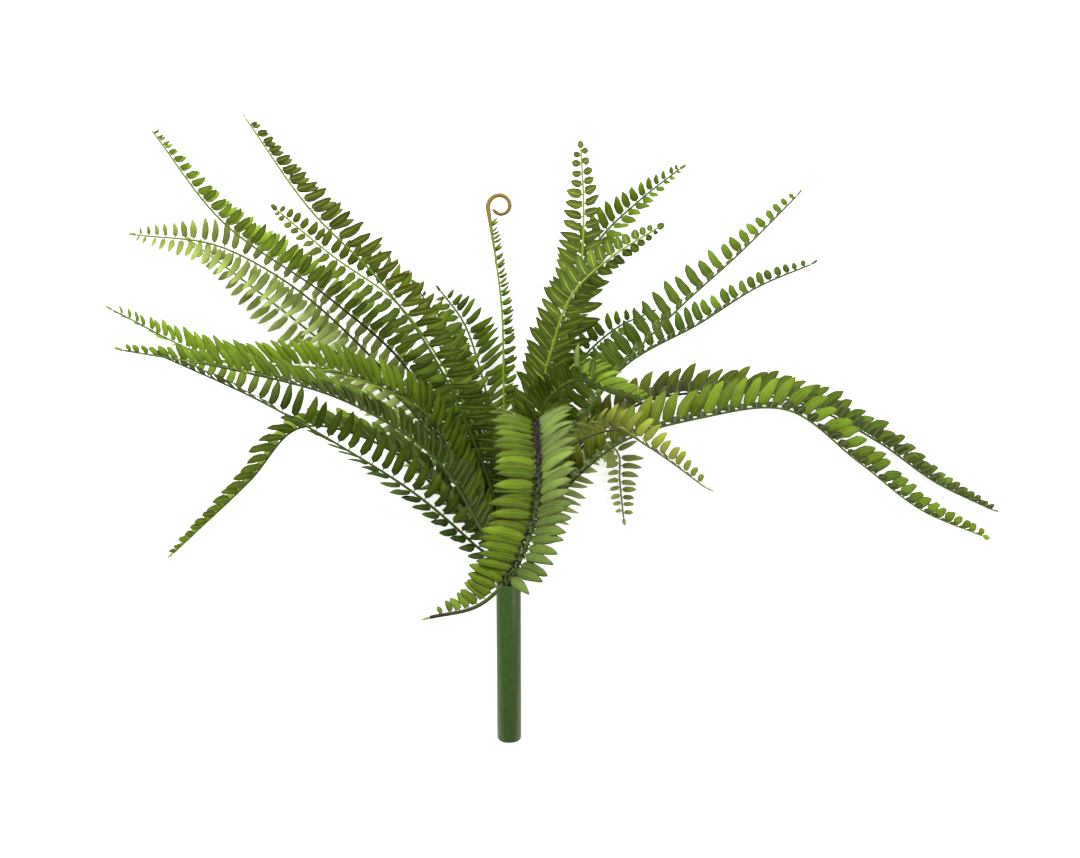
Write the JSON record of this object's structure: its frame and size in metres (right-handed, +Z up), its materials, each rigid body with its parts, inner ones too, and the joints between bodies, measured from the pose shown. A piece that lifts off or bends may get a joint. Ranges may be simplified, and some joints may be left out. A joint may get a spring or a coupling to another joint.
{
  "type": "artificial fern bush",
  "caption": "Faux sword fern with arching toothed fronds spreading from one plain stem, lying on its side, made to be stuck into a pot or vase.",
  "frame": {"origin": "on the surface the plant lies on, below the middle of its bounding box", "axes": "+Z up from that surface, -Y the way the cut stem points, +X across the fan of fronds"},
  "size_m": [0.6686, 0.4702, 0.2853],
  "materials": {
    "stem_green": "satin",
    "stalk_green": "satin",
    "leaf_green": "satin"
  },
  "bodies": {
    "root": {"arching_right_leaflets": "leaf_green", "arching_right_stalk": "stalk_green", "back_arching_right_leaflets": "leaf_green", "back_arching_right_stalk": "stalk_green", "back_hanging_leaflets": "leaf_green", "back_hanging_stalk": "stalk_green", "back_left_lower_leaflets": "leaf_green", "back_left_lower_stalk": "stalk_green", "back_left_upper_leaflets": "leaf_green", "back_left_upper_stalk": "stalk_green", "back_short_left_leaflets": "leaf_green", "back_short_left_stalk": "stalk_green", "back_short_right_leaflets": "leaf_green", "back_short_right_stalk": "stalk_green", "back_upright_leaflets": "leaf_green", "back_upright_stalk": "stalk_green", "fiddlehead_leaflets": "leaf_green", "fiddlehead_stalk": "stalk_green", "front_hanging_leaflets": "leaf_green", "front_hanging_stalk": "stalk_green", "front_left_lower_leaflets": "leaf_green", "front_left_lower_stalk": "stalk_green", "front_left_upper_leaflets": "leaf_green", "front_left_upper_stalk": "stalk_green", "front_right_short_leaflets": "leaf_green", "front_right_short_stalk": "stalk_green", "front_short_leaflets": "leaf_green", "front_short_stalk": "stalk_green", "front_upright_leaflets": "leaf_green", "front_upright_stalk": "stalk_green", "hooked_left_leaflets": "leaf_green", "hooked_left_stalk": "stalk_green", "inner_back_leaflets": "leaf_green", "inner_back_stalk": "stalk_green", "inner_front_left_leaflets": "leaf_green", "inner_front_left_stalk": "stalk_green", "inner_left_leaflets": "leaf_green", "inner_left_stalk": "stalk_green", "long_left_leaflets": "leaf_green", "long_left_stalk": "stalk_green", "low_left_leaflets": "leaf_green", "low_left_stalk": "stalk_green", "mid_right_leaflets": "leaf_green", "mid_right_stalk": "stalk_green", "stem": "stem_green", "top_left_leaflets": "leaf_green", "top_left_stalk": "stalk_green", "upper_right_leaflets": "leaf_green", "upper_right_stalk": "stalk_green", "upright_right_leaflets": "leaf_green", "upright_right_stalk": "stalk_green"}
  },
  "joints": []
}
